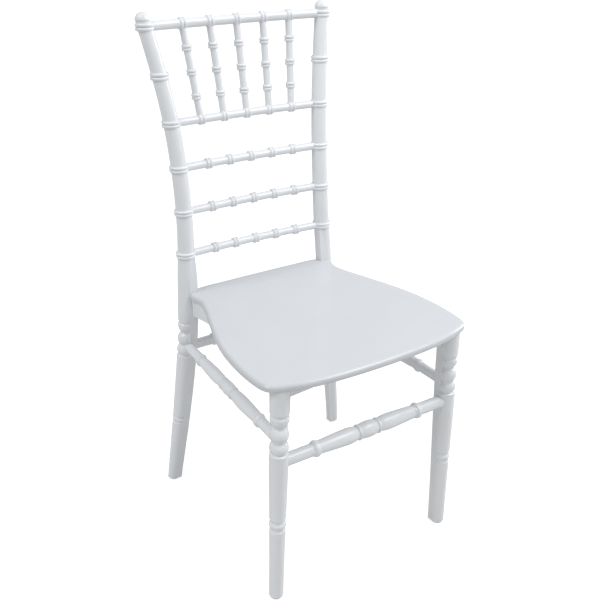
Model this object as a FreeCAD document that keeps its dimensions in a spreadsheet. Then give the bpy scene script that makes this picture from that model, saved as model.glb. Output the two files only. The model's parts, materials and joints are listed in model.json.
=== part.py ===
import FreeCAD, Part
import math
import os
import Sketcher
from FreeCAD import Placement, Rotation, Vector

# Turned ballroom dining chair, millimetres.
# +Z up, front of the chair towards -Y, symmetric about the plane X = 0.
# Origin on the floor, under the middle of the chair's box.
# "left" is -X and "right" is +X.

doc = FreeCAD.newDocument("chiavari_chair")
sheet = doc.addObject("Spreadsheet::Sheet", "dims")
values = {}


def dim(alias, value):
    row = len(values) + 1
    sheet.set("A%d" % row, alias)
    sheet.set("B%d" % row, repr(round(value, 4)))
    sheet.setAlias("B%d" % row, alias)
    values[alias] = round(value, 4)
    return values[alias]


# ---------------------------------------------------------------- driving sizes
SHIFT = 8.063                       # moves the whole chair so that its box is centred on Y = 0


def fwd(y):
    return y + SHIFT


dim("foot_clear", 2.0)              # underside of the legs above the floor, taken up by the glides
dim("seat_under", 420.5)            # underside of the seat panel
dim("seat_thick", 11.4)
dim("seat_round_top", 6.5)
dim("seat_round_under", 1.8)
dim("dish_sphere", 4200.0)          # radius of the shallow dish in the seat
dim("dish_depth", 3.2)
dim("dish_y", fwd(-46.0))

dim("crest_z", 893.7)
dim("crest_y", fwd(213.4))
dim("crest_rad", 7.8)
dim("crest_half", 168.5)
dim("spindle_rail_z", 737.9)
dim("spindle_rail_y", fwd(186.1))
dim("spindle_rail_rad", 6.9)
dim("spindle_rail_half", 146.3)
dim("rung_rad", 7.05)
dim("rung_upper_z", 661.1)
dim("rung_upper_y", fwd(176.1))
dim("rung_upper_half", 141.9)
dim("rung_middle_z", 583.0)
dim("rung_middle_y", fwd(170.7))
dim("rung_middle_half", 141.1)
dim("rung_lower_z", 503.8)
dim("rung_lower_y", fwd(167.6))
dim("rung_lower_half", 143.5)
dim("bow_rad", 1715.0)              # the back rails bow gently to the rear
dim("crest_pitch", 52.2)
dim("spindle_rail_pitch", 46.0)
dim("rung_pitch", 43.7)
dim("bead_high", 2.8)               # how far a ring stands out of its rail
dim("bead_wide", 6.3)
dim("spindle_rad", 6.05)
dim("spindle_bead", 8.9)
dim("spindle_bead_wide", 5.2)
dim("tenon_rad", 3.5)
dim("post_bead_high", 2.9)
dim("post_bead_wide", 5.7)

dim("front_leg_rad", 15.2)
dim("front_foot_x", 181.0)
dim("front_foot_y", fwd(-200.0))
dim("front_top_x", 167.3)
dim("front_top_y", fwd(-203.3))
dim("front_top_z", 418.5)

dim("front_stretcher_z", 281.2)
dim("front_stretcher_y", fwd(-202.2))
dim("front_stretcher_half", 165.0)
dim("front_stretcher_rad", 13.9)
dim("side_stretcher_z", 318.1)
dim("side_stretcher_rad", 11.9)
dim("rear_stretcher_z", 314.2)
dim("rear_stretcher_y", fwd(165.0))
dim("rear_stretcher_half", 150.5)
dim("rear_stretcher_rad", 12.2)
dim("stretcher_flat", 6.6)          # distance of the flat inner face from the axis

dim("apron_low", 393.5)             # lower edge of the front and rear aprons at their ends
dim("side_apron_low", 385.2)        # lower edge of a side apron where it meets the rear post
dim("side_apron_mid", 403.0)        # and between its two brackets
dim("dowel_rad", 3.0)
dim("dowel_z", 400.0)
dim("dowel_len", 20.0)
dim("block_low", 402.5)
dim("bolt_rad", 3.0)
dim("bolt_z", 411.0)
dim("bolt_len", 44.0)
dim("nut_across", 11.5)
dim("nut_high", 5.0)
dim("screw_rad", 2.0)
dim("screw_len", 24.0)
dim("screw_head", 3.9)
dim("glide_rad", 10.5)
dim("glide_pin", 2.0)
dim("glide_pin_len", 12.0)
dim("gap", 0.06)                    # clearance round a tenon in its socket

# Axis and radius of the rear post, from the foot to the ring under the finial.
# name, height, x, y, radius
POST = [
    ("a", 2.0, 201.40, 191.48, 12.50), ("b", 40.0, 196.90, 187.47, 13.00),
    ("c", 90.0, 190.45, 182.58, 13.65), ("d", 144.0, 183.25, 177.80, 14.35),
    ("e", 160.0, 181.12, 176.48, 14.60), ("f", 205.0, 175.35, 172.95, 15.40),
    ("g", 252.0, 169.54, 169.31, 15.85), ("j", 299.0, 164.20, 166.15, 16.05),
    ("k", 373.5, 157.05, 163.35, 15.80), ("l", 412.0, 154.85, 163.30, 15.65),
    ("n", 450.0, 152.30, 163.30, 15.50), ("o", 480.0, 150.00, 163.35, 15.30),
    ("p", 504.0, 148.15, 163.45, 15.15), ("q", 543.0, 146.10, 163.80, 14.95),
    ("q2", 560.0, 145.55, 164.30, 14.80),
    ("r", 596.0, 145.05, 165.90, 14.45), ("u", 622.0, 145.15, 167.50, 14.25),
    ("v", 661.0, 145.95, 170.75, 14.10), ("w", 700.0, 147.60, 174.75, 13.95),
    ("x", 738.7, 150.40, 179.30, 13.70), ("y", 777.0, 154.45, 184.80, 13.45),
    ("z", 816.0, 159.70, 191.20, 13.25), ("aa", 852.0, 165.35, 197.70, 13.00),
    ("bb", 892.0, 172.20, 205.10, 12.70),
]
for key, z, x, y, r in POST:
    dim("post_z_" + key, z)
    dim("post_x_" + key, x)
    dim("post_y_" + key, fwd(y))
    dim("post_rad_" + key, r)
# Side of the square inner corner of the post; it fades into the round post above the seat.
CORNER = [("a", 11.9), ("b", 12.7), ("c", 13.8), ("d", 14.8), ("f", 15.7), ("g", 16.2), ("j", 16.45),
          ("k", 16.65), ("l", 16.65), ("n", 16.2), ("o", 14.1), ("p", 12.1), ("q", 10.2), ("q2", 9.3)]
for key, q in CORNER:
    dim("post_square_" + key, q)

doc.recompute()


def val(alias):
    return values[alias]


# ---------------------------------------------------------------- helpers
def plane(body, role):
    for feature in body.Origin.OriginFeatures:
        if feature.Role == role:
            return feature
    raise RuntimeError("no plane " + role)


def new_sketch(body, name, role="XY_Plane", offset=None):
    sk = body.newObject("Sketcher::SketchObject", name)
    sk.AttachmentSupport = [(plane(body, role), "")]
    sk.MapMode = "FlatFace"
    if offset is not None:
        sk.AttachmentOffset = offset
    return sk


def circle_sketch(body, name, x_alias, y_alias, r_alias, z_alias):
    """A circle in a level plane, its centre, radius and height all bound."""
    sk = new_sketch(body, name, offset=Placement(Vector(0, 0, val(z_alias)), Rotation()))
    sk.addGeometry(Part.Circle(Vector(val(x_alias), val(y_alias), 0), Vector(0, 0, 1), val(r_alias)), False)
    sk.addConstraint(Sketcher.Constraint("DistanceX", -1, 1, 0, 3, val(x_alias)))
    sk.addConstraint(Sketcher.Constraint("DistanceY", -1, 1, 0, 3, val(y_alias)))
    sk.addConstraint(Sketcher.Constraint("Radius", 0, val(r_alias)))
    sk.setExpression("Constraints[0]", "dims." + x_alias)
    sk.setExpression("Constraints[1]", "dims." + y_alias)
    sk.setExpression("Constraints[2]", "dims." + r_alias)
    sk.setExpression("AttachmentOffset.Base.z", "dims." + z_alias)
    return sk


def square_sketch(body, name, x, y, q, z, sy, exprs):
    """A square from the axis (x, y) towards -X and sy*Y, side q, in a level plane."""
    sk = new_sketch(body, name, offset=Placement(Vector(0, 0, z), Rotation()))
    pts = [Vector(x, y, 0), Vector(x - q, y, 0), Vector(x - q, y + sy * q, 0), Vector(x, y + sy * q, 0)]
    for i in range(4):
        sk.addGeometry(Part.LineSegment(pts[i], pts[(i + 1) % 4]), False)
    for i in range(4):
        sk.addConstraint(Sketcher.Constraint("Coincident", i, 2, (i + 1) % 4, 1))
    sk.addConstraint(Sketcher.Constraint("Horizontal", 0))
    sk.addConstraint(Sketcher.Constraint("Horizontal", 2))
    sk.addConstraint(Sketcher.Constraint("Vertical", 1))
    sk.addConstraint(Sketcher.Constraint("Vertical", 3))
    ex, ey, eq, ez = exprs
    i = sk.addConstraint(Sketcher.Constraint("DistanceX", 0, 2, 0, 1, q))
    sk.setExpression("Constraints[%d]" % i, eq)
    if sy > 0:
        i = sk.addConstraint(Sketcher.Constraint("DistanceY", 1, 1, 1, 2, q))
    else:
        i = sk.addConstraint(Sketcher.Constraint("DistanceY", 1, 2, 1, 1, q))
    sk.setExpression("Constraints[%d]" % i, eq)
    if ex is None:
        sk.addConstraint(Sketcher.Constraint("Coincident", 0, 1, -1, 1))
    else:
        i = sk.addConstraint(Sketcher.Constraint("DistanceX", -1, 1, 0, 1, x))
        sk.setExpression("Constraints[%d]" % i, ex)
        i = sk.addConstraint(Sketcher.Constraint("DistanceY", -1, 1, 0, 1, y))
        sk.setExpression("Constraints[%d]" % i, ey)
    if ez:
        sk.setExpression("AttachmentOffset.Base.z", ez)
    return sk


def loft(body, name, sketches):
    feature = body.newObject("PartDesign::AdditiveLoft", name)
    feature.Profile = sketches[0]
    feature.Sections = sketches[1:]
    feature.Ruled = False
    feature.Closed = False
    feature.Refine = False
    body.Tip = feature
    doc.recompute()
    return feature


def profile_sketch(sk, points, scale_alias=None):
    """Half outline of a turned piece. points: (r, z) for a straight step, or (r, z, rm, zm)
    where (rm, zm) is a point that the arc to this point passes through. The outline starts
    and ends on the axis and is closed along it. Every radius is bound to scale_alias."""
    n = len(points)
    base = val(scale_alias) if scale_alias else None
    start_of = {}
    end_of = {}
    for i in range(n):
        p = Vector(points[i][0], points[i][1], 0)
        nxt = points[(i + 1) % n]
        q = Vector(nxt[0], nxt[1], 0)
        if len(nxt) == 4 and i + 1 < n:
            m = Vector(nxt[2], nxt[3], 0)
            ax, ay, bx, by, cx, cy = p.x, p.y, m.x, m.y, q.x, q.y
            d = 2 * (ax * (by - cy) + bx * (cy - ay) + cx * (ay - by))
            ux = ((ax * ax + ay * ay) * (by - cy) + (bx * bx + by * by) * (cy - ay) + (cx * cx + cy * cy) * (ay - by)) / d
            uy = ((ax * ax + ay * ay) * (cx - bx) + (bx * bx + by * by) * (ax - cx) + (cx * cx + cy * cy) * (bx - ax)) / d
            centre = Vector(ux, uy, 0)
            rad = (p - centre).Length
            a0 = math.atan2(p.y - uy, p.x - ux)
            am = math.atan2(m.y - uy, m.x - ux)
            a1 = math.atan2(q.y - uy, q.x - ux)
            two = 2 * math.pi
            if (am - a0) % two < (a1 - a0) % two:
                sk.addGeometry(Part.ArcOfCircle(Part.Circle(centre, Vector(0, 0, 1), rad), a0, a0 + (a1 - a0) % two), False)
                start_of[i], end_of[i] = 1, 2
            else:
                sk.addGeometry(Part.ArcOfCircle(Part.Circle(centre, Vector(0, 0, 1), rad), a1, a1 + (a0 - a1) % two), False)
                start_of[i], end_of[i] = 2, 1
        else:
            sk.addGeometry(Part.LineSegment(p, q), False)
            start_of[i], end_of[i] = 1, 2
    for i in range(n):
        j = (i + 1) % n
        sk.addConstraint(Sketcher.Constraint("Coincident", i, end_of[i], j, start_of[j]))
    for i in range(n):
        r, z = points[i][0], points[i][1]
        if abs(r) < 1e-9:
            sk.addConstraint(Sketcher.Constraint("PointOnObject", i, start_of[i], -2))
        else:
            k = sk.addConstraint(Sketcher.Constraint("DistanceX", -1, 1, i, start_of[i], r))
            if base:
                sk.setExpression("Constraints[%d]" % k, "dims.%s * %.9f" % (scale_alias, r / base))
        if abs(z) < 1e-9:
            sk.addConstraint(Sketcher.Constraint("PointOnObject", i, start_of[i], -1))
        elif z > 0:
            sk.addConstraint(Sketcher.Constraint("DistanceY", -1, 1, i, start_of[i], z))
        else:
            sk.addConstraint(Sketcher.Constraint("DistanceY", i, start_of[i], -1, 1, -z))
    for i in range(n):
        g = sk.Geometry[i]
        if hasattr(g, "Radius"):
            sk.addConstraint(Sketcher.Constraint("Radius", i, g.Radius))


def revolve(body, name, points, scale_alias=None, at=None, along=None):
    """A turned feature: its axis passes through `at` along `along` (the body's own Z by default)."""
    if at is None:
        sk = new_sketch(body, name + "_profile", "XZ_Plane")
    else:
        sk = new_sketch(body, name + "_profile", "XY_Plane",
                        Placement(at, Rotation(Vector(0, 1, 0), along)))
    profile_sketch(sk, points, scale_alias)
    feature = body.newObject("PartDesign::Revolution", name)
    feature.Profile = sk
    feature.ReferenceAxis = (sk, ["V_Axis"])
    feature.Angle = 360.0
    feature.Refine = False
    body.Tip = feature
    doc.recompute()
    return feature


def double_bead(z, inner, groove, tip, wide):
    """Two half-round beads side by side, centred at z; starts and ends on the axis."""
    return [(0, z - wide), (inner, z - wide), (groove, z, tip, z - wide / 2.0),
            (inner, z + wide, tip, z + wide / 2.0), (0, z + wide)]


def lean_of(direction):
    """Sideways run per unit of height of a leaning axis."""
    return math.hypot(direction.x, direction.y) / direction.z


def cylinder(name, start, along, radius_expr, length, length_expr=None):
    """A round tool or pin from `start` along `along`."""
    c = doc.addObject("Part::Cylinder", name)
    c.Height = length
    c.setExpression("Radius", radius_expr)
    if length_expr:
        c.setExpression("Height", length_expr)
    c.Placement = Placement(start, Rotation(Vector(0, 0, 1), along))
    return c


def box(name, corner, size, turn=None):
    b = doc.addObject("Part::Box", name)
    b.Length, b.Width, b.Height = size
    b.Placement = Placement(corner, turn or Rotation())
    return b


def cut(name, base, tools):
    if len(tools) > 1:
        group = doc.addObject("Part::MultiFuse", name + "_sockets")
        group.Shapes = tools
        tool = group
    else:
        tool = tools[0]
    c = doc.addObject("Part::Cut", name)
    c.Base = base
    c.Tool = tool
    c.Refine = False
    return c


def mirror(name, source):
    m = doc.addObject("Part::Mirroring", name)
    m.Source = source
    m.Normal = Vector(1, 0, 0)
    m.Base = Vector(0, 0, 0)
    return m


def post_at(z):
    """Centre and radius of the right rear post at a height, between the stations."""
    for a, b in zip(POST, POST[1:]):
        if a[1] <= z <= b[1]:
            t = (z - a[1]) / (b[1] - a[1])
            return (Vector(a[2] + (b[2] - a[2]) * t, fwd(a[3] + (b[3] - a[3]) * t), z), a[4] + (b[4] - a[4]) * t)
    a, b = POST[-2], POST[-1]
    t = (z - a[1]) / (b[1] - a[1])
    return (Vector(a[2] + (b[2] - a[2]) * t, fwd(a[3] + (b[3] - a[3]) * t), z), b[4])


def post_dir(z, span=14.0):
    d = post_at(z + span)[0] - post_at(z - span)[0]
    d.normalize()
    return d


parts = {}

# ---------------------------------------------------------------- back rails
R = val("bow_rad")


def bowed_rail(name, prefix, rad_alias, pitch_alias, rad_value):
    """Round rail on a large arc with five double rings, in a body placed at the arc's centre."""
    body = doc.addObject("PartDesign::Body", name + "_turned")
    y_alias, z_alias, half_alias = prefix + "_y", prefix + "_z", prefix + "_half"
    body.Placement = Placement(Vector(0, val(y_alias) - R, val(z_alias)), Rotation())
    body.setExpression("Placement.Base.y", "dims.%s - dims.bow_rad" % y_alias)
    body.setExpression("Placement.Base.z", "dims." + z_alias)
    sk = new_sketch(body, name + "_section", "YZ_Plane")
    sk.addGeometry(Part.Circle(Vector(R, 0, 0), Vector(0, 0, 1), rad_value), False)
    sk.addConstraint(Sketcher.Constraint("PointOnObject", 0, 3, -1))
    sk.addConstraint(Sketcher.Constraint("DistanceX", -1, 1, 0, 3, R))
    sk.addConstraint(Sketcher.Constraint("Radius", 0, rad_value))
    sk.setExpression("Constraints[1]", "dims.bow_rad")
    sk.setExpression("Constraints[2]", "dims." + rad_alias)
    rev = body.newObject("PartDesign::Revolution", name + "_arc")
    rev.Profile = sk
    rev.ReferenceAxis = (sk, ["V_Axis"])
    half = math.degrees(math.asin(val(half_alias) / R))
    rev.Angle = 2 * half
    rev.Midplane = True
    rev.setExpression("Angle", "2 * asin(dims.%s / dims.bow_rad)" % half_alias)
    body.Tip = rev
    doc.recompute()
    w = val("bead_wide")
    for k in range(-2, 3):
        a = math.asin(k * val(pitch_alias) / R)
        at = Vector(R * math.sin(a), R * math.cos(a), 0)
        along = Vector(math.cos(a), -math.sin(a), 0)
        revolve(body, "%s_rings_%d" % (name, k + 3),
                double_bead(0, rad_value + 0.3, rad_value + 0.6, rad_value + val("bead_high"), w), rad_alias, at, along)
    return body


def rail_end(prefix):
    """End point of a rail on the right and the direction back along it, in world axes."""
    half = val(prefix + "_half")
    a = math.asin(half / R)
    p = Vector(half, val(prefix + "_y") - R + R * math.cos(a), val(prefix + "_z"))
    return p, Vector(-math.cos(a), math.sin(a), 0)


crest_body = bowed_rail("crest_rail", "crest", "crest_rad", "crest_pitch", val("crest_rad"))
spindle_rail_body = bowed_rail("spindle_rail", "spindle_rail", "spindle_rail_rad", "spindle_rail_pitch", val("spindle_rail_rad"))
for level in ("upper", "middle", "lower"):
    body = bowed_rail("back_rung_" + level, "rung_" + level, "rung_rad", "rung_pitch", val("rung_rad"))
    parts["back_rung_" + level] = body

# ---------------------------------------------------------------- spindles
EMBED_TOP, EMBED_LOW = 4.6, 3.2     # shoulders sit inside the rails' surface


def on_rail(prefix, x):
    return Vector(x, val(prefix + "_y") - R + math.sqrt(R * R - x * x), val(prefix + "_z"))


crest_tools, rail_tools = [], []
SPINDLE_BEADS = (0.245, 0.499, 0.752)   # places of the double rings along a spindle
for k in range(5):
    low = on_rail("spindle_rail", (k - 2) * val("spindle_rail_pitch"))
    top = on_rail("crest", (k - 2) * val("crest_pitch"))
    axis = top - low
    L = dim("spindle_axis_%d" % (k + 1), axis.Length)
    axis.normalize()
    sr, tr, br, w = val("spindle_rad"), val("tenon_rad"), val("spindle_bead"), val("spindle_bead_wide")
    body = doc.addObject("PartDesign::Body", "spindle_%d" % (k + 1))
    body.Placement = Placement(low - axis * 2.0, Rotation(Vector(0, 0, 1), axis))
    pts = [(0, 0), (tr, 0), (tr, EMBED_LOW + 2), (sr, EMBED_LOW + 2),
           (sr, L - EMBED_TOP + 2), (tr, L - EMBED_TOP + 2), (tr, L + 4), (0, L + 4)]
    revolve(body, "spindle_%d_turning" % (k + 1), pts, "spindle_rad")
    # the rings lie level, although the spindle leans
    level = body.Placement.Rotation.inverted().multVec(Vector(0, 0, 1))
    for i, f in enumerate(SPINDLE_BEADS):
        revolve(body, "spindle_%d_rings_%d" % (k + 1, i + 1),
                double_bead(0, sr + lean_of(axis) * w + 0.15, sr + 0.75, br, w), "spindle_rad",
                Vector(0, 0, f * L + 2), level)
    parts["spindle_%d" % (k + 1)] = body
    # sockets: a counterbore for the spindle and a deeper hole for its tenon
    crest_tools.append(cylinder("crest_tenon_hole_%d" % (k + 1), top + axis * 2.0, axis * -1, "dims.tenon_rad + dims.gap", 10.0))
    crest_tools.append(cylinder("crest_spindle_hole_%d" % (k + 1), top - axis * EMBED_TOP, axis * -1, "dims.spindle_rad + dims.gap", 8.0))
    rail_tools.append(cylinder("rail_tenon_hole_%d" % (k + 1), low - axis * 2.0, axis, "dims.tenon_rad + dims.gap", 10.0))
    rail_tools.append(cylinder("rail_spindle_hole_%d" % (k + 1), low + axis * EMBED_LOW, axis, "dims.spindle_rad + dims.gap", 8.0))

parts["crest_rail"] = cut("crest_rail", crest_body, crest_tools)
parts["spindle_rail"] = cut("spindle_rail", spindle_rail_body, rail_tools)

# ---------------------------------------------------------------- rear posts
post = doc.addObject("PartDesign::Body", "rear_post_right_turned")


def stations(keys):
    out = []
    for key in keys:
        out.append(circle_sketch(post, "post_section_" + key, "post_x_" + key, "post_y_" + key,
                                 "post_rad_" + key, "post_z_" + key))
    return out


loft(post, "post_upper", stations(list("klnopq") + ["q2"] + list("ruvwxyz") + ["aa", "bb"]))
# double rings where the back rails meet the post; they lie level, although the post leans
w = val("post_bead_wide")
UP = Vector(0, 0, 1)
for n, z in (("lower", 504.0), ("middle", 583.2), ("upper", 661.2), ("rail", 738.4), ("spindle", 816.0)):
    p, r = post_at(z)
    revolve(post, "post_ring_" + n,
            double_bead(0, r + lean_of(post_dir(z)) * w + 0.35, r + 0.8, r + val("post_bead_high"), w),
            "post_rad_r", p, UP)
# level rings and a mushroom cap at the top
w = 6.0
p = Vector(172.7, fwd(205.6), 893.2)
revolve(post, "post_top_rings", [
    (0, -w), (14.15, -w), (13.5, 0, 15.7, -w / 2), (13.2, w, 15.7, w / 2), (0, w)], "post_rad_bb", p, UP)
CAP = 13.6                          # radius of the cap's dome
p = Vector(173.8, fwd(206.9), 893.2)
rise = 2.0
edge = math.sqrt(CAP * CAP - rise * rise)
mid = (math.asin(rise / CAP) + math.pi / 2) / 2
revolve(post, "post_cap", [
    (0, -1.0), (11.4, -1.0), (12.35, 8.6), (12.5, 10.2), (edge, 11.6, 13.3, 10.6),
    (0, 9.6 + CAP, CAP * math.cos(mid), 9.6 + CAP * math.sin(mid))], "post_rad_bb", p, UP)
loft(post, "post_foot", stations("abcd"))
loft(post, "post_shin", stations("efgj"))
# small ring between two notches low on the leg
p, r = post_at(152.0)
revolve(post, "post_low_ring", [(0, -13), (12.4, -13), (12.4, -5.2), (12.4, 5.2, 14.9, 0), (12.4, 13), (0, 13)],
        "post_rad_d", p, post_dir(152.0, 12))
# bead, neck, ball, neck, cup and groove between the stretchers and the seat
p, r = post_at(336.0)
a_low, a_top = post_at(300.0)[0], post_at(372.0)[0]
d = a_top - a_low
d.normalize()
revolve(post, "post_turning", [
    (0, -46), (12.6, -46), (12.6, -35.5), (12.6, -16.5, 16.1, -26), (11.9, -12.5),
    (10.6, 9.5, 15.9, -1.3), (10.6, 13.5), (15.7, 25.5, 13.4, 17.2), (15.7, 29.5), (14.4, 31.2), (14.4, 45), (0, 45)],
    "post_rad_j", p, d)
# square inner corner, running straight past the turned rings
table = {row[0]: row for row in POST}
loft(post, "post_square_corner", [
    square_sketch(post, "post_corner_" + key, table[key][2], fwd(table[key][3]), val("post_square_" + key),
                  table[key][1], -1,
                  ("dims.post_x_" + key, "dims.post_y_" + key, "dims.post_square_" + key, "dims.post_z_" + key))
    for key, q in CORNER])

sockets = []
for n, alias in (("crest", "crest_rad"), ("spindle_rail", "spindle_rail_rad"), ("rung_upper", "rung_rad"),
                 ("rung_middle", "rung_rad"), ("rung_lower", "rung_rad")):
    e, back = rail_end(n)
    sockets.append(cylinder("post_hole_" + n, e, back, "dims.%s + dims.gap" % alias, 26.0))
ss_rear = Vector(160.3, fwd(156.0), val("side_stretcher_z"))
ss_front = Vector(166.7, fwd(-196.0), val("side_stretcher_z"))
ss_dir = ss_front - ss_rear
ss_len = dim("side_stretcher_len", ss_dir.Length)
ss_dir.normalize()
SIDE_END, FRONT_END, REAR_END = 9.1, 10.7, 9.7
dim("side_stretcher_end", SIDE_END)
dim("front_stretcher_end", FRONT_END)
dim("rear_stretcher_end", REAR_END)
doc.recompute()
sockets.append(cylinder("post_hole_side_stretcher", ss_rear, ss_dir, "dims.side_stretcher_end + dims.gap", 22.0))
rs_end = Vector(val("rear_stretcher_half"), val("rear_stretcher_y"), val("rear_stretcher_z"))
sockets.append(cylinder("post_hole_rear_stretcher", rs_end, Vector(-1, 0, 0), "dims.rear_stretcher_end + dims.gap", 22.0))

# points of the frame under the seat, right side, at dowel height
pz = post_at(404.0)[0]
q_post = 16.66
FACE_X = pz.x - q_post              # flat face of the rear post that looks inwards
FACE_Y = pz.y - q_post              # flat face of the rear post that looks forwards
lz = 404.0 / val("front_top_z")
leg_x = val("front_foot_x") + (val("front_top_x") - val("front_foot_x")) * lz
leg_y = val("front_foot_y") + (val("front_top_y") - val("front_foot_y")) * lz
LEG_SQ = 15.1
LFACE_X = leg_x - LEG_SQ
LFACE_Y = leg_y + LEG_SQ

dz = val("dowel_z")
half_d = val("dowel_len") / 2.0
dowel_rear = (Vector(FACE_X + 10.0, FACE_Y + 6.4, dz), Vector(-1, 0, 0))
dowel_side_rear = (Vector(FACE_X + 6.6, FACE_Y + 10.0, dz), Vector(0, -1, 0))
dowel_front = (Vector(LFACE_X + 10.0, LFACE_Y - 6.2, dz), Vector(-1, 0, 0))
dowel_side_front = (Vector(LFACE_X + 6.3, LFACE_Y - 10.0, dz), Vector(0, 1, 0))
for n, (s0, along) in (("rear", dowel_rear), ("side", dowel_side_rear)):
    sockets.append(cylinder("post_dowel_hole_" + n, s0, along, "dims.dowel_rad + dims.gap", 12.0))

# diagonal bolts through the corner blocks
bz = val("bolt_z")
diag_rear = Vector(-1, -1, 0)
diag_rear.normalize()
diag_front = Vector(-1, 1, 0)
diag_front.normalize()
bolt_rear_start = Vector(FACE_X, FACE_Y, bz) - diag_rear * 13.0
bolt_front_start = Vector(LFACE_X, LFACE_Y, bz) - diag_front * 13.0
sockets.append(cylinder("post_bolt_hole", bolt_rear_start, diag_rear, "dims.bolt_rad + dims.gap", 30.0))
foot_rear = Vector(val("post_x_a"), val("post_y_a"), 0)
sockets.append(cylinder("post_glide_hole", foot_rear + Vector(0, 0, 0), Vector(0, 0, 1), "dims.glide_pin + dims.gap", 14.0,
                        "dims.foot_clear + dims.glide_pin_len"))
parts["rear_post_right"] = cut("rear_post_right", post, sockets)
parts["rear_post_left"] = mirror("rear_post_left", parts["rear_post_right"])

# ---------------------------------------------------------------- front legs
leg = doc.addObject("PartDesign::Body", "front_leg_right_turned")
foot = Vector(val("front_foot_x"), val("front_foot_y"), 0)
top = Vector(val("front_top_x"), val("front_top_y"), val("front_top_z"))
leg_dir = top - foot
leg_dir.normalize()
leg.Placement = Placement(foot, Rotation(Vector(0, 0, 1), leg_dir))
revolve(leg, "front_leg_turning", [
    (0, 0.6), (11.2, 0.6), (12.3, 3.4), (12.8, 60), (13.3, 125), (13.6, 146.5), (12.2, 149.0), (12.2, 153.6),
    (12.2, 164.4, 14.4, 159.0), (12.2, 168.6), (13.8, 171.5), (14.7, 224), (15.25, 262), (15.4, 299.2),
    (12.7, 300.8), (12.3, 301.8), (12.0, 320.4, 15.5, 311.0), (11.9, 324.8),
    (10.0, 347.4, 15.2, 336.2), (10.0, 351.0), (15.3, 363.5, 13.0, 355.0), (15.3, 367.6), (14.1, 369.4),
    (14.1, 373.6), (15.7, 375.4), (16.3, 423.5), (0, 423.5)], "front_leg_rad")
loft(leg, "front_leg_square_corner", [
    square_sketch(leg, "leg_corner_%d" % i, 0, 0, q, z, 1,
                  (None, None, "dims.front_leg_rad * %.6f" % (q / val("front_leg_rad")), None))
    for i, (z, q) in enumerate([(0.6, 11.9), (60, 12.4), (125, 12.9), (171, 13.5), (224, 14.2), (290, 14.9),
                                (360, 15.1), (423.5, 15.1)])])
leg_tools = [box("leg_floor_trim", Vector(150, fwd(-230), -20), (60, 60, 22.0)),
             box("leg_top_trim", Vector(135, fwd(-240), val("seat_under")), (70, 70, 20.0))]
leg_tools[0].setExpression("Height", "20 + dims.foot_clear")
leg_tools[1].setExpression("Placement.Base.z", "dims.seat_under")
fs_end = Vector(val("front_stretcher_half"), val("front_stretcher_y"), val("front_stretcher_z"))
leg_tools.append(cylinder("leg_hole_front_stretcher", fs_end, Vector(-1, 0, 0), "dims.front_stretcher_end + dims.gap", 24.0))
leg_tools.append(cylinder("leg_hole_side_stretcher", ss_front, ss_dir * -1, "dims.side_stretcher_end + dims.gap", 24.0))
for n, (s0, along) in (("front", dowel_front), ("side", dowel_side_front)):
    leg_tools.append(cylinder("leg_dowel_hole_" + n, s0, along, "dims.dowel_rad + dims.gap", 12.0))
leg_tools.append(cylinder("leg_bolt_hole", bolt_front_start, diag_front, "dims.bolt_rad + dims.gap", 30.0))
leg_tools.append(cylinder("leg_glide_hole", foot + leg_dir * 0, Vector(0, 0, 1), "dims.glide_pin + dims.gap", 14.0,
                          "dims.foot_clear + dims.glide_pin_len"))
parts["front_leg_right"] = cut("front_leg_right", leg, leg_tools)
parts["front_leg_left"] = mirror("front_leg_left", parts["front_leg_right"])


# ---------------------------------------------------------------- stretchers
def stretcher_outline(L, centre, end_r, body_r, collar_at, collar_r, ring_at, ring_r, vase_at):
    """Turned outline: plain ends, collars with a step, long vases and a barrel between two rings."""
    w = 2.7
    step = 0.80 * body_r
    # one half, from the plain end to the ring: (radius, distance from the centre, arc's mid point)
    out = [
        (end_r, collar_at + 5.6),
        (collar_r * 0.95, collar_at - 4.2, collar_r, collar_at + 0.4),
        (collar_r * 0.87, collar_at - 4.6),
        (collar_r * 0.85, collar_at - 7.2),
        (step, collar_at - 7.6),
        (body_r, vase_at, (step + body_r) / 2.0 + 0.25, (collar_at - 7.6 + vase_at) / 2.0),
        (body_r * 0.84, ring_at + w + 1.4, body_r * 0.965, vase_at - (vase_at - ring_at - w - 1.4) * 0.52),
        (body_r * 0.83, ring_at + w),
        (body_r * 0.86, ring_at - w, ring_r, ring_at),
    ]
    pts = [(0, 0), (end_r, 0)]
    for p in out:
        pts.append((p[0], centre - p[1]) if len(p) == 2 else (p[0], centre - p[1], p[2], centre - p[3]))
    # barrel in the middle
    pts.append((body_r * 0.86, centre + ring_at - w, body_r * 1.02, centre))
    for i in range(len(out) - 1, 0, -1):
        to, arc = out[i - 1], out[i]
        pts.append((to[0], centre + to[1]) if len(arc) == 2 else (to[0], centre + to[1], arc[2], centre + arc[3]))
    return pts + [(end_r, L), (0, L)]


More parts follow.
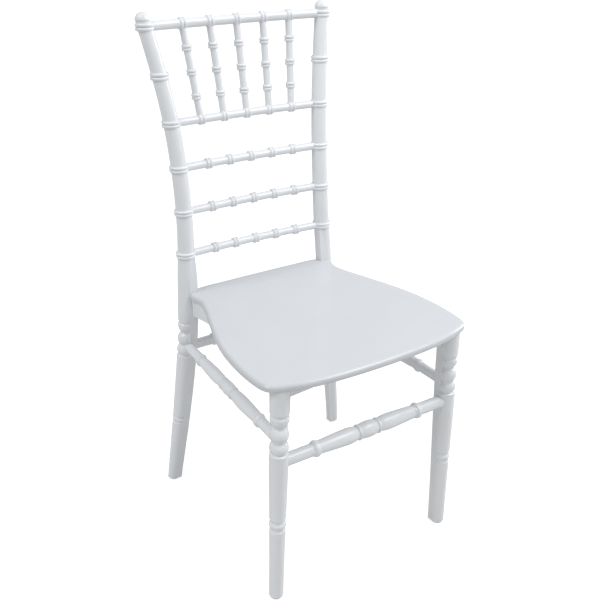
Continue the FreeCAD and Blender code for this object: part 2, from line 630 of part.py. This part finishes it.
def stretcher(name, start, along, L, centre, end_r, alias, collar_at, collar_r, ring_at, ring_r, vase_at, inner):
    body = doc.addObject("PartDesign::Body", name + "_turned")
    body.Placement = Placement(start, Rotation(Vector(0, 0, 1), along))
    revolve(body, name + "_turning",
            stretcher_outline(L, centre, end_r, val(alias), collar_at, collar_r, ring_at, ring_r, vase_at), alias)
    # flat inner face: a long box beyond the flat
    flat = doc.addObject("Part::Box", name + "_flat")
    flat.Length = L - 2 * 8.6
    flat.Width = 30.0
    flat.Height = 60.0
    x_axis = Vector(along.x, along.y, along.z)
    z_axis = Vector(0, 0, 1)
    y_axis = z_axis.cross(x_axis)
    rot = Rotation(x_axis, y_axis, z_axis, "XYZ")
    side = 1.0 if y_axis.dot(inner) > 0 else -1.0
    off = val("stretcher_flat") * end_r / 8.5
    base = start + x_axis * 8.6 - z_axis * 30.0 + y_axis * (off if side > 0 else -off - 30.0)
    flat.Placement = Placement(base, rot)
    return cut(name, body, [flat])


fh = val("front_stretcher_half")
parts["front_stretcher"] = stretcher(
    "front_stretcher", Vector(-fh, val("front_stretcher_y"), val("front_stretcher_z")), Vector(1, 0, 0), 2 * fh, fh,
    FRONT_END, "front_stretcher_rad", 104.5, 14.0, 19.6, 13.9, 43.0, Vector(0, 1, 0))
rh = val("rear_stretcher_half")
parts["rear_stretcher"] = stretcher(
    "rear_stretcher", Vector(-rh, val("rear_stretcher_y"), val("rear_stretcher_z")), Vector(1, 0, 0), 2 * rh, rh,
    REAR_END, "rear_stretcher_rad", 103.0, 12.4, 18.5, 12.1, 44.0, Vector(0, -1, 0))
parts["side_stretcher_right"] = stretcher(
    "side_stretcher_right", ss_rear, ss_dir, ss_len, 176.5, SIDE_END, "side_stretcher_rad",
    114.0, 12.0, 19.0, 11.9, 58.0, Vector(-1, 0, 0))
parts["side_stretcher_left"] = mirror("side_stretcher_left", parts["side_stretcher_right"])

# ---------------------------------------------------------------- seat panel
seat = doc.addObject("PartDesign::Body", "seat_panel_blank")
sk = new_sketch(seat, "seat_outline", offset=Placement(Vector(0, 0, val("seat_under")), Rotation()))
sk.setExpression("AttachmentOffset.Base.z", "dims.seat_under")
RIM = [(0, 168.6), (45, 168.4), (90, 168.0), (120, 167.2), (137, 163.2), (145.0, 158.2), (150.6, 152.0), (154.0, 145.6),
       (155.2, 139.5), (154.6, 133.6), (152.9, 127.6), (151.2, 121.0), (150.2, 113.0), (150.1, 106.0), (151.4, 97.0),
       (154.6, 84.0), (159.4, 67.0), (165.6, 47.5), (175.2, 16.0), (183.6, -11.0), (190.8, -38.0), (196.0, -63.0),
       (199.2, -84.0), (201.2, -106.0), (202.6, -130.0), (202.6, -150.0), (201.8, -168.0), (200.7, -181.0),
       (198.4, -195.0), (194.6, -205.6), (187.0, -214.0), (174.0, -219.8), (148.2, -228.2), (113.0, -235.0),
       (76.0, -238.6), (38.0, -240.4), (0, -241.0)]
right = [Vector(x, fwd(y), 0) for x, y in RIM]
left = [Vector(-v.x, v.y, 0) for v in reversed(right[1:-1])]
curve = Part.BSplineCurve()
curve.interpolate(Points=right + left, PeriodicFlag=True)
sk.addGeometry(curve, False)
sk.addConstraint(Sketcher.Constraint("Block", 0))
pad = seat.newObject("PartDesign::Pad", "seat_pad")
pad.Profile = sk
pad.Length = val("seat_thick")
pad.setExpression("Length", "dims.seat_thick")
seat.Tip = pad
doc.recompute()


def rim_edges(shape, z):
    names = []
    for i, e in enumerate(shape.Edges):
        if abs(e.BoundBox.ZMin - z) < 1e-4 and abs(e.BoundBox.ZMax - z) < 1e-4:
            names.append("Edge%d" % (i + 1))
    return names


fil = seat.newObject("PartDesign::Fillet", "seat_round_over")
fil.Base = (pad, rim_edges(pad.Shape, val("seat_under") + val("seat_thick")))
fil.Radius = val("seat_round_top")
fil.setExpression("Radius", "dims.seat_round_top")
seat.Tip = fil
doc.recompute()
fil2 = seat.newObject("PartDesign::Fillet", "seat_round_below")
fil2.Base = (fil, rim_edges(fil.Shape, val("seat_under")))
fil2.Radius = val("seat_round_under")
fil2.setExpression("Radius", "dims.seat_round_under")
seat.Tip = fil2
doc.recompute()

seat_tools = []
ball = doc.addObject("Part::Sphere", "seat_dish")
ball.setExpression("Radius", "dims.dish_sphere")
ball.Placement = Placement(Vector(0, val("dish_y"), 0), Rotation())
ball.setExpression("Placement.Base.y", "dims.dish_y")
ball.setExpression("Placement.Base.z", "dims.seat_under + dims.seat_thick - dims.dish_depth + dims.dish_sphere")
seat_tools.append(ball)
# rear corners are notched round the posts
p425, r425 = post_at(425.0)
d425 = post_dir(425.0, 10)
for s, side in ((1, "right"), (-1, "left")):
    at = Vector(s * p425.x, p425.y, 425.0)
    al = Vector(s * d425.x, d425.y, d425.z)
    c = doc.addObject("Part::Cylinder", "seat_notch_round_" + side)
    c.Radius = r425 + 0.3
    c.Height = 60
    c.setExpression("Radius", "dims.post_rad_l + 0.3")
    c.Placement = Placement(at - al * 30, Rotation(Vector(0, 0, 1), al))
    seat_tools.append(c)
    q = 17.05
    b = doc.addObject("Part::Box", "seat_notch_square_" + side)
    b.Length, b.Width, b.Height = 46.0, 46.0, 60.0
    rot = Rotation(Vector(0, 0, 1), al)
    # the notch opens outwards and to the rear, so that the panel slides in between the posts
    corner = Vector(-q if s > 0 else q - 46.0, -q, -30)
    b.Placement = Placement(at + rot.multVec(corner), rot)
    seat_tools.append(b)

# ---------------------------------------------------------------- aprons under the seat
z_low, z_top = val("apron_low"), val("seat_under")
GAP = 0.12


def slab(name, outline, z0, z1, z0_expr, height_expr):
    """An upright board from its plan outline."""
    body = doc.addObject("PartDesign::Body", name)
    s2 = new_sketch(body, name + "_plan", offset=Placement(Vector(0, 0, z0), Rotation()))
    s2.setExpression("AttachmentOffset.Base.z", z0_expr)
    n = len(outline)
    for i in range(n):
        a, b2 = outline[i], outline[(i + 1) % n]
        s2.addGeometry(Part.LineSegment(Vector(a[0], a[1], 0), Vector(b2[0], b2[1], 0)), False)
    for i in range(n):
        s2.addConstraint(Sketcher.Constraint("Coincident", i, 2, (i + 1) % n, 1))
    for i in range(n):
        x, y = outline[i]
        if x >= 0:
            s2.addConstraint(Sketcher.Constraint("DistanceX", -1, 1, i, 1, x))
        else:
            s2.addConstraint(Sketcher.Constraint("DistanceX", i, 1, -1, 1, -x))
        if y >= 0:
            s2.addConstraint(Sketcher.Constraint("DistanceY", -1, 1, i, 1, y))
        else:
            s2.addConstraint(Sketcher.Constraint("DistanceY", i, 1, -1, 1, -y))
    pd = body.newObject("PartDesign::Pad", name + "_pad")
    pd.Profile = s2
    pd.Length = z1 - z0
    pd.setExpression("Length", height_expr)
    body.Tip = pd
    return body


def leg_x_at(z):
    return val("front_foot_x") + (val("front_top_x") - val("front_foot_x")) * z / val("front_top_z")


def leg_y_at(z):
    return val("front_foot_y") + (val("front_top_y") - val("front_foot_y")) * z / val("front_top_z")


# front apron: ends rake with the legs, so it is drawn in its upright plane
def raked_board(name, x_low, x_top, y0, thick):
    body = doc.addObject("PartDesign::Body", name)
    s2 = new_sketch(body, name + "_face", "XZ_Plane", Placement(Vector(0, 0, -y0), Rotation()))
    pts = [(-x_low, z_low), (x_low, z_low), (x_top, z_top), (-x_top, z_top)]
    for i in range(4):
        a, b2 = pts[i], pts[(i + 1) % 4]
        s2.addGeometry(Part.LineSegment(Vector(a[0], a[1], 0), Vector(b2[0], b2[1], 0)), False)
    for i in range(4):
        s2.addConstraint(Sketcher.Constraint("Coincident", i, 2, (i + 1) % 4, 1))
    for i in range(4):
        x, z = pts[i]
        if x > 0:
            s2.addConstraint(Sketcher.Constraint("DistanceX", -1, 1, i, 1, x))
        else:
            s2.addConstraint(Sketcher.Constraint("DistanceX", i, 1, -1, 1, -x))
        k2 = s2.addConstraint(Sketcher.Constraint("DistanceY", -1, 1, i, 1, z))
        s2.setExpression("Constraints[%d]" % k2, "dims.apron_low" if i < 2 else "dims.seat_under")
    pd = body.newObject("PartDesign::Pad", name + "_pad")
    pd.Profile = s2
    pd.Length = thick
    body.Tip = pd
    doc.recompute()
    return body


def holes(name, items):
    return [cylinder("%s_hole_%d" % (name, i), s0, al, "dims.dowel_rad + dims.gap", 20.0, "dims.dowel_len")
            for i, (s0, al) in enumerate(items)]


def flip(pair):
    (s0, al) = pair
    return (Vector(-s0.x, s0.y, s0.z), Vector(-al.x, al.y, al.z))


fx_low = leg_x_at(z_low) - LEG_SQ - GAP
fx_top = leg_x_at(z_top) - LEG_SQ - GAP
front_blank = raked_board("front_apron_blank", fx_low, fx_top, LFACE_Y - 0.2, 11.6)
rx_low = post_at(z_low)[0].x - q_post - GAP
rx_top = post_at(z_top)[0].x - q_post - GAP
rear_blank = raked_board("rear_apron_blank", rx_low, rx_top, FACE_Y + 12.2, 11.8)
sf_y = LFACE_Y + GAP + 0.15
sr_y = FACE_Y - GAP - 0.15
side_outline = [(FACE_X + 0.2, sr_y), (LFACE_X + 0.2, sf_y), (LFACE_X + 11.8, sf_y), (FACE_X + 11.8, sr_y)]
z_side = val("side_apron_low") - 2.0
side_blank = slab("side_apron_right_blank", side_outline, z_side, z_top, "dims.side_apron_low - 2", "dims.seat_under - dims.side_apron_low + 2")
# the lower edge of a side apron rises from a bracket at each end
relief = doc.addObject("PartDesign::Body", "side_apron_relief")
s3 = new_sketch(relief, "side_apron_relief_face", "YZ_Plane", Placement(Vector(0, 0, 125.0), Rotation()))
low_z, mid_z, front_z = val("side_apron_low"), val("side_apron_mid"), val("apron_low")
relief_pts = [(FACE_Y + 12.0, low_z - 0.213 * 12.0), (FACE_Y - 83.5, mid_z), (LFACE_Y + 40.0, mid_z),
              (LFACE_Y - 12.0, front_z - 2.8), (LFACE_Y - 12.0, 350.0), (FACE_Y + 12.0, 350.0)]
for i in range(6):
    a, b2 = relief_pts[i], relief_pts[(i + 1) % 6]
    s3.addGeometry(Part.LineSegment(Vector(a[0], a[1], 0), Vector(b2[0], b2[1], 0)), False)
for i in range(6):
    s3.addConstraint(Sketcher.Constraint("Coincident", i, 2, (i + 1) % 6, 1))
for i, (y, z) in enumerate(relief_pts):
    if y >= 0:
        s3.addConstraint(Sketcher.Constraint("DistanceX", -1, 1, i, 1, y))
    else:
        s3.addConstraint(Sketcher.Constraint("DistanceX", i, 1, -1, 1, -y))
    k2 = s3.addConstraint(Sketcher.Constraint("DistanceY", -1, 1, i, 1, z))
    if i in (1, 2):
        s3.setExpression("Constraints[%d]" % k2, "dims.side_apron_mid")
relief_pad = relief.newObject("PartDesign::Pad", "side_apron_relief_pad")
relief_pad.Profile = s3
relief_pad.Length = 60.0
relief.Tip = relief_pad


def arch_tool(name, rise, half_span, y0, y1):
    """A long round bar whose top is the arched lower edge of a board between the legs."""
    bar_r = (half_span * half_span + rise * rise) / (2.0 * rise)
    c = doc.addObject("Part::Cylinder", name)
    c.Radius = bar_r
    c.Height = y1 - y0
    c.Placement = Placement(Vector(0, y0, val("apron_low") + rise - bar_r), Rotation(Vector(0, 0, 1), Vector(0, 1, 0)))
    c.setExpression("Placement.Base.z", "dims.apron_low + %.6f" % (rise - bar_r))
    return c


parts["front_apron"] = cut("front_apron", front_blank, [arch_tool("front_apron_arch", 6.5, 147.0, LFACE_Y - 30.0, LFACE_Y + 30.0)]
                           + holes("front_apron", [dowel_front, flip(dowel_front)]))
parts["rear_apron"] = cut("rear_apron", rear_blank, [arch_tool("rear_apron_arch", 6.5, 134.0, FACE_Y - 30.0, FACE_Y + 30.0)]
                          + holes("rear_apron", [dowel_rear, flip(dowel_rear)]))
parts["side_apron_right"] = cut("side_apron_right", side_blank, [relief] + holes("side_apron", [dowel_side_rear, dowel_side_front]))
parts["side_apron_left"] = mirror("side_apron_left", parts["side_apron_right"])

# ---------------------------------------------------------------- corner blocks
slope = (LFACE_X - FACE_X) / (sr_y - sf_y)      # how the side apron opens towards the front


def inner_x(y):
    return FACE_X + 0.1 + (sr_y - y) * slope


B = 36.0
block_front_plan = [(inner_x(LFACE_Y + 0.05) - 0.1, LFACE_Y + 0.05), (inner_x(LFACE_Y + B) - 0.1, LFACE_Y + B),
                    (LFACE_X - B, LFACE_Y + 0.05)]
block_rear_plan = [(FACE_X - 0.15, FACE_Y + 0.1), (FACE_X - B, FACE_Y + 0.1), (inner_x(FACE_Y - B) - 0.1, FACE_Y - B)]
block_front_raw = slab("corner_block_front_blank", block_front_plan, val("block_low"), z_top, "dims.block_low",
                       "dims.seat_under - dims.block_low")
block_rear_raw = slab("corner_block_rear_blank", block_rear_plan, val("block_low"), z_top, "dims.block_low",
                      "dims.seat_under - dims.block_low")
screw_front = Vector(LFACE_X - 22.5, LFACE_Y + 5.6, val("block_low"))
screw_rear = Vector(FACE_X - 22.5, FACE_Y - 5.6, val("block_low"))


def screw_hole(name, at):
    a = cylinder(name + "_shank", at, Vector(0, 0, 1), "dims.screw_rad + dims.gap", 24.0, "dims.screw_len")
    c = doc.addObject("Part::Cone", name + "_sink")
    c.setExpression("Radius1", "dims.screw_head + dims.gap")
    c.setExpression("Radius2", "dims.screw_rad + dims.gap")
    c.setExpression("Height", "dims.screw_head - dims.screw_rad")
    c.Placement = Placement(at, Rotation())
    return [a, c]


parts["corner_block_front_right"] = cut("corner_block_front_right", block_front_raw, [
    cylinder("block_front_bolt_hole", bolt_front_start, diag_front, "dims.bolt_rad + dims.gap", 60.0)]
    + screw_hole("block_front_screw", screw_front))
parts["corner_block_front_left"] = mirror("corner_block_front_left", parts["corner_block_front_right"])
parts["corner_block_rear_right"] = cut("corner_block_rear_right", block_rear_raw, [
    cylinder("block_rear_bolt_hole", bolt_rear_start, diag_rear, "dims.bolt_rad + dims.gap", 60.0)]
    + screw_hole("block_rear_screw", screw_rear))
parts["corner_block_rear_left"] = mirror("corner_block_rear_left", parts["corner_block_rear_right"])

# ---------------------------------------------------------------- fasteners and glides, one node per kind
def flipv(v):
    return Vector(-v.x, v.y, v.z)


def compound(name, items):
    c = doc.addObject("Part::Compound", name)
    c.Links = items
    return c


dowels = []
for i, pair in enumerate([dowel_rear, flip(dowel_rear), dowel_side_rear, flip(dowel_side_rear),
                          dowel_front, flip(dowel_front), dowel_side_front, flip(dowel_side_front)]):
    s0, al = pair
    dowels.append(cylinder("dowel_%d" % (i + 1), s0, al, "dims.dowel_rad", 20.0, "dims.dowel_len"))
parts["apron_dowels"] = compound("apron_dowels", dowels)

bolts, nuts = [], []
BLOCK_DEPTH = B / math.sqrt(2.0)    # from the leg's corner to the block's long face
for i, (s0, al, corner) in enumerate([
        (bolt_rear_start, diag_rear, None), (flipv(bolt_rear_start), flipv(diag_rear), None),
        (bolt_front_start, diag_front, None), (flipv(bolt_front_start), flipv(diag_front), None)]):
    bolts.append(cylinder("bolt_%d" % (i + 1), s0, al, "dims.bolt_rad", 44.0, "dims.bolt_len"))
    nut = doc.addObject("Part::Prism", "nut_%d_hex" % (i + 1))
    nut.Polygon = 6
    nut.setExpression("Circumradius", "dims.nut_across / 2")
    nut.setExpression("Height", "dims.nut_high")
    seat_of_nut = s0 + al * (13.0 + BLOCK_DEPTH + 0.1)
    nut.Placement = Placement(seat_of_nut, Rotation(Vector(0, 0, 1), al))
    bore = cylinder("nut_%d_bore" % (i + 1), seat_of_nut - al * 1.0, al, "dims.bolt_rad + dims.gap", 10.0)
    nuts.append(cut("nut_%d" % (i + 1), nut, [bore]))
parts["leg_bolts"] = compound("leg_bolts", bolts)
parts["leg_bolt_nuts"] = compound("leg_bolt_nuts", nuts)

screws = []
for i, at in enumerate([screw_front, flipv(screw_front), screw_rear, flipv(screw_rear)]):
    a = cylinder("screw_%d_shank" % (i + 1), at, Vector(0, 0, 1), "dims.screw_rad", 24.0, "dims.screw_len")
    c = doc.addObject("Part::Cone", "screw_%d_head" % (i + 1))
    c.setExpression("Radius1", "dims.screw_head")
    c.setExpression("Radius2", "dims.screw_rad")
    c.setExpression("Height", "dims.screw_head - dims.screw_rad")
    c.Placement = Placement(at, Rotation())
    f = doc.addObject("Part::Fuse", "screw_%d" % (i + 1))
    f.Base, f.Tool = a, c
    screws.append(f)
    seat_tools.append(cylinder("seat_screw_hole_%d" % (i + 1), at, Vector(0, 0, 1), "dims.screw_rad + dims.gap", 24.0,
                               "dims.screw_len"))
parts["seat_screws"] = compound("seat_screws", screws)
parts["seat_panel"] = cut("seat_panel", seat, seat_tools)

glides = []
for i, at in enumerate([foot_rear, flipv(foot_rear), foot, flipv(foot)]):
    disc = cylinder("glide_%d_disc" % (i + 1), Vector(at.x, at.y, 0), Vector(0, 0, 1), "dims.glide_rad", 2.0, "dims.foot_clear")
    pin = cylinder("glide_%d_pin" % (i + 1), Vector(at.x, at.y, 0), Vector(0, 0, 1), "dims.glide_pin", 14.0,
                   "dims.foot_clear + dims.glide_pin_len")
    f = doc.addObject("Part::Fuse", "glide_%d" % (i + 1))
    f.Base, f.Tool = disc, pin
    glides.append(f)
parts["foot_glides"] = compound("foot_glides", glides)

# ---------------------------------------------------------------- check and write
doc.recompute()
for obj in doc.Objects:
    bad = [s for s in obj.State if s in ("Invalid", "Error")]
    if bad:
        raise RuntimeError("%s: %s" % (obj.Name, bad))
os.makedirs("parts", exist_ok=True)
for f in os.listdir("parts"):
    if f.endswith(".step"):
        os.remove(os.path.join("parts", f))
low = Vector(1e9, 1e9, 1e9)
high = Vector(-1e9, -1e9, -1e9)
for name in sorted(parts):
    obj = parts[name]
    obj.Label = name
    shape = obj.Shape
    if shape.isNull() or not shape.isValid():
        raise RuntimeError(name + ": shape is null or not valid")
    if not shape.Solids:
        raise RuntimeError(name + ": no solid")
    bb = shape.BoundBox
    low = Vector(min(low.x, bb.XMin), min(low.y, bb.YMin), min(low.z, bb.ZMin))
    high = Vector(max(high.x, bb.XMax), max(high.y, bb.YMax), max(high.z, bb.ZMax))
    print("%-26s solids %d  volume %9.1f" % (name, len(shape.Solids), shape.Volume))
    shape.exportStep("parts/%s.step" % name)
print("nodes", len(parts))
print("box", [round(v, 3) for v in low], [round(v, 3) for v in high])
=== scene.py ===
import json
import math

import bpy
from mathutils import Matrix, Vector

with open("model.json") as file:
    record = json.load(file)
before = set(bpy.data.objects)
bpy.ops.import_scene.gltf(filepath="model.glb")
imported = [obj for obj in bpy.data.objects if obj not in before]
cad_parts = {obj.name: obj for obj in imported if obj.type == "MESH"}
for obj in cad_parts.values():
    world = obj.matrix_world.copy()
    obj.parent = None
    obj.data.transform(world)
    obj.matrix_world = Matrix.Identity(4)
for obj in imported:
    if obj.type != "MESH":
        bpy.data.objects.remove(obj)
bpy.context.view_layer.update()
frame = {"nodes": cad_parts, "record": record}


scene = bpy.context.scene
scene.view_settings.view_transform = "Standard"
scene.view_settings.look = "None"
scene.view_settings.exposure = 0.0
scene.view_settings.gamma = 1.0


# ---------------------------------------------------------------- materials
def nodes_of(name):
    mat = bpy.data.materials.new(name)
    mat.use_nodes = True
    tree = mat.node_tree
    for n in list(tree.nodes):
        tree.nodes.remove(n)
    out = tree.nodes.new("ShaderNodeOutputMaterial")
    shader = tree.nodes.new("ShaderNodeBsdfPrincipled")
    tree.links.new(shader.outputs["BSDF"], out.inputs["Surface"])
    return mat, tree, shader


def noise(tree, coord, scale, detail, rough=0.5, stretch=None):
    tex = tree.nodes.new("ShaderNodeTexNoise")
    tex.inputs["Scale"].default_value = scale
    tex.inputs["Detail"].default_value = detail
    tex.inputs["Roughness"].default_value = rough
    if stretch is not None:
        mapping = tree.nodes.new("ShaderNodeMapping")
        mapping.inputs["Scale"].default_value = stretch
        tree.links.new(coord, mapping.inputs["Vector"])
        tree.links.new(mapping.outputs["Vector"], tex.inputs["Vector"])
    else:
        tree.links.new(coord, tex.inputs["Vector"])
    return tex.outputs["Fac"]


def ramp(tree, fac, stops):
    r = tree.nodes.new("ShaderNodeValToRGB")
    r.color_ramp.interpolation = "EASE"
    r.color_ramp.elements[0].position = stops[0][0]
    r.color_ramp.elements[0].color = stops[0][1]
    r.color_ramp.elements[1].position = stops[-1][0]
    r.color_ramp.elements[1].color = stops[-1][1]
    for pos, col in stops[1:-1]:
        e = r.color_ramp.elements.new(pos)
        e.color = col
    tree.links.new(fac, r.inputs["Fac"])
    return r.outputs["Color"]


def to_range(tree, fac, low, high):
    m = tree.nodes.new("ShaderNodeMapRange")
    m.inputs["To Min"].default_value = low
    m.inputs["To Max"].default_value = high
    tree.links.new(fac, m.inputs["Value"])
    return m.outputs["Result"]


def resin(name, light, shade, rough_low, rough_high, wave_scale, wave_depth, coat):
    """Glossy moulded resin: a faint colour drift, uneven polish and a very shallow waviness."""
    mat, tree, shader = nodes_of(name)
    geo = tree.nodes.new("ShaderNodeTexCoord").outputs["Object"]
    drift = noise(tree, geo, 7.0, 3.0, 0.55)
    tone = ramp(tree, drift, [(0.3, shade), (0.7, light)])
    tree.links.new(tone, shader.inputs["Base Color"])
    polish = noise(tree, geo, 34.0, 4.0, 0.6)
    tree.links.new(to_range(tree, polish, rough_low, rough_high), shader.inputs["Roughness"])
    wave = noise(tree, geo, wave_scale, 1.0, 0.4)
    bump = tree.nodes.new("ShaderNodeBump")
    bump.inputs["Strength"].default_value = 1.0
    bump.inputs["Distance"].default_value = wave_depth
    tree.links.new(wave, bump.inputs["Height"])
    tree.links.new(bump.outputs["Normal"], shader.inputs["Normal"])
    shader.inputs["IOR"].default_value = 1.5
    shader.inputs["Coat Weight"].default_value = coat
    shader.inputs["Coat Roughness"].default_value = 0.12
    return mat


# frame and seat are one white resin: the frame's tone is painted lighter to make up for the shade on its upright
# faces, and the seat's tone painted darker to make up for the light on its top
frame_resin_painted_lighter = resin("white_resin_frame_painted_lighter", (0.836, 0.848, 0.864, 1), (0.814, 0.826, 0.844, 1), 0.15, 0.24, 45.0, 0.00012,
                    0.12)
seat_resin_painted_darker = resin("white_resin_seat_painted_darker", (0.640, 0.651, 0.667, 1), (0.626, 0.637, 0.654, 1), 0.15, 0.24, 22.0, 0.00012,
                   0.08)
dowel_resin = resin("white_resin_dowel", (0.70, 0.70, 0.69, 1), (0.66, 0.66, 0.65, 1), 0.45, 0.55, 60.0, 0.0001, 0.0)
glide_resin = resin("white_glide", (0.62, 0.63, 0.64, 1), (0.56, 0.57, 0.58, 1), 0.50, 0.65, 80.0, 0.0001, 0.0)


def zinc(name):
    """Zinc-plated steel with a fine lay of scratches."""
    mat, tree, shader = nodes_of(name)
    geo = tree.nodes.new("ShaderNodeTexCoord").outputs["Object"]
    spangle = noise(tree, geo, 260.0, 4.0, 0.6)
    tree.links.new(ramp(tree, spangle, [(0.3, (0.50, 0.51, 0.53, 1)), (0.7, (0.66, 0.67, 0.69, 1))]),
                   shader.inputs["Base Color"])
    scratch = noise(tree, geo, 900.0, 3.0, 0.6, (1.0, 1.0, 0.08))
    tree.links.new(to_range(tree, scratch, 0.22, 0.42), shader.inputs["Roughness"])
    bump = tree.nodes.new("ShaderNodeBump")
    bump.inputs["Strength"].default_value = 0.3
    bump.inputs["Distance"].default_value = 0.0001
    tree.links.new(scratch, bump.inputs["Height"])
    tree.links.new(bump.outputs["Normal"], shader.inputs["Normal"])
    shader.inputs["Metallic"].default_value = 1.0
    return mat


zinc_steel = zinc("zinc_plated_steel")
by_slot = {
    "resin_frame": frame_resin_painted_lighter,
    "resin_seat": seat_resin_painted_darker,
    "dowel_plastic": dowel_resin,
    "glide_plastic": glide_resin,
    "zinc_steel": zinc_steel,
}
slot_of = {s["node"]: s["material_slot"] for s in frame["record"]["subparts"]}
for name, obj in frame["nodes"].items():
    mat = by_slot[slot_of[name]]
    if not obj.data.materials:
        obj.data.materials.append(mat)
    for i in range(len(obj.data.materials)):
        obj.data.materials[i] = mat

# ---------------------------------------------------------------- floor
floor_mat, tree, shader = nodes_of("pale_floor")
geo = tree.nodes.new("ShaderNodeTexCoord").outputs["Object"]
cloud = noise(tree, geo, 1.3, 3.0, 0.5)
tree.links.new(ramp(tree, cloud, [(0.3, (0.595, 0.585, 0.565, 1)), (0.7, (0.610, 0.600, 0.580, 1))]), shader.inputs["Base Color"])
shader.inputs["Roughness"].default_value = 0.9
shader.inputs["Specular IOR Level"].default_value = 0.0
# a lit white table: it glows a little to the eye, and bounces a bit less light than it shows
path = tree.nodes.new("ShaderNodeLightPath")
glow = tree.nodes.new("ShaderNodeEmission")
glow.inputs["Strength"].default_value = 0.70
dull = tree.nodes.new("ShaderNodeBsdfDiffuse")
dull.inputs["Color"].default_value = (0.50, 0.50, 0.50, 1)
lit = tree.nodes.new("ShaderNodeAddShader")
tree.links.new(glow.outputs[0], lit.inputs[0])
tree.links.new(dull.outputs[0], lit.inputs[1])
pick = tree.nodes.new("ShaderNodeMixShader")
tree.links.new(path.outputs["Is Camera Ray"], pick.inputs[0])
tree.links.new(shader.outputs[0], pick.inputs[1])
tree.links.new(lit.outputs[0], pick.inputs[2])
for n in tree.nodes:
    if n.bl_idname == "ShaderNodeOutputMaterial":
        tree.links.new(pick.outputs[0], n.inputs["Surface"])
mesh = bpy.data.meshes.new("floor")
S = 40.0
mesh.from_pydata([(-S, -S, 0), (S, -S, 0), (S, S, 0), (-S, S, 0)], [], [(0, 1, 2, 3)])
mesh.update()
floor = bpy.data.objects.new("floor", mesh)
floor.data.materials.append(floor_mat)
scene.collection.objects.link(floor)

# ---------------------------------------------------------------- light
world = bpy.data.worlds.new("studio")
world.use_nodes = True
wt = world.node_tree
background = wt.nodes["Background"]
# a soft dome: bright overhead, dimmer towards the horizon
wc = wt.nodes.new("ShaderNodeTexCoord")
split = wt.nodes.new("ShaderNodeSeparateXYZ")
wt.links.new(wc.outputs["Generated"], split.inputs[0])
dome = wt.nodes.new("ShaderNodeMapRange")
dome.inputs["From Min"].default_value = 0.0
dome.inputs["From Max"].default_value = 0.9
dome.inputs["To Min"].default_value = 0.41
dome.inputs["To Max"].default_value = 0.60
wt.links.new(split.outputs["Z"], dome.inputs["Value"])
wt.links.new(dome.outputs["Result"], background.inputs["Strength"])
background.inputs["Color"].default_value = (0.955, 0.985, 1.02, 1)
# the eye sees a plain pale backdrop above the floor
backdrop = wt.nodes.new("ShaderNodeBackground")
backdrop.inputs["Color"].default_value = (0.985, 0.99, 1.0, 1)
backdrop.inputs["Strength"].default_value = 1.03
seen = wt.nodes.new("ShaderNodeLightPath")
either = wt.nodes.new("ShaderNodeMixShader")
wt.links.new(seen.outputs["Is Camera Ray"], either.inputs[0])
wt.links.new(background.outputs[0], either.inputs[1])
wt.links.new(backdrop.outputs[0], either.inputs[2])
for n in wt.nodes:
    if n.bl_idname == "ShaderNodeOutputWorld":
        wt.links.new(either.outputs[0], n.inputs["Surface"])
scene.world = world


def sun(name, direction, strength, angle, colour=(1, 1, 1)):
    light = bpy.data.lights.new(name, "SUN")
    light.energy = strength
    light.angle = math.radians(angle)
    light.color = colour
    obj = bpy.data.objects.new(name, light)
    obj.rotation_euler = Vector(direction).to_track_quat("-Z", "Y").to_euler()
    scene.collection.objects.link(obj)
    return obj


def softbox(name, place, aim, size, power, colour=(1, 1, 1)):
    light = bpy.data.lights.new(name, "AREA")
    light.shape = "SQUARE"
    light.size = size
    light.energy = power
    light.color = colour
    obj = bpy.data.objects.new(name, light)
    obj.location = place
    obj.rotation_euler = (Vector(aim) - Vector(place)).to_track_quat("-Z", "Y").to_euler()
    scene.collection.objects.link(obj)
    return obj


sun("side_right", (-1.0, 0.05, -0.25), 1.05, 30, (0.985, 0.99, 1.0))
sun("side_left", (1.0, 0.05, -1.30), 1.00, 25, (0.985, 0.99, 1.0))
softbox("key", (0.85, -0.85, 1.98), (0.0, 0.0, 0.5), 1.0, 16.0, (0.985, 0.99, 1.0))

# ---------------------------------------------------------------- camera
SHIFT_Y = 0.008063
yaw, pitch, roll = math.radians(-29.833), math.radians(-26.478), math.radians(-1.201)
ahead = Vector((-math.sin(yaw) * math.cos(pitch), math.cos(yaw) * math.cos(pitch), math.sin(pitch)))
right0 = Vector((math.cos(yaw), math.sin(yaw), 0))
up0 = right0.cross(ahead)
right = math.cos(roll) * right0 + math.sin(roll) * up0
up = -math.sin(roll) * right0 + math.cos(roll) * up0
cam_data = bpy.data.cameras.new("camera")
cam_data.sensor_fit = "HORIZONTAL"
cam_data.sensor_width = 36.0
cam_data.lens = 760.954 / 600.0 * 36.0
cam_data.shift_x = (300.0 - 275.069) / 600.0
cam_data.shift_y = (312.773 - 300.0) / 600.0
cam_data.clip_end = 200.0
camera = bpy.data.objects.new("camera", cam_data)
camera.matrix_world = Matrix((
    (right.x, up.x, -ahead.x, -0.652639),
    (right.y, up.y, -ahead.y, -1.039289 + SHIFT_Y),
    (right.z, up.z, -ahead.z, 1.024921),
    (0, 0, 0, 1)))
scene.collection.objects.link(camera)
scene.camera = camera
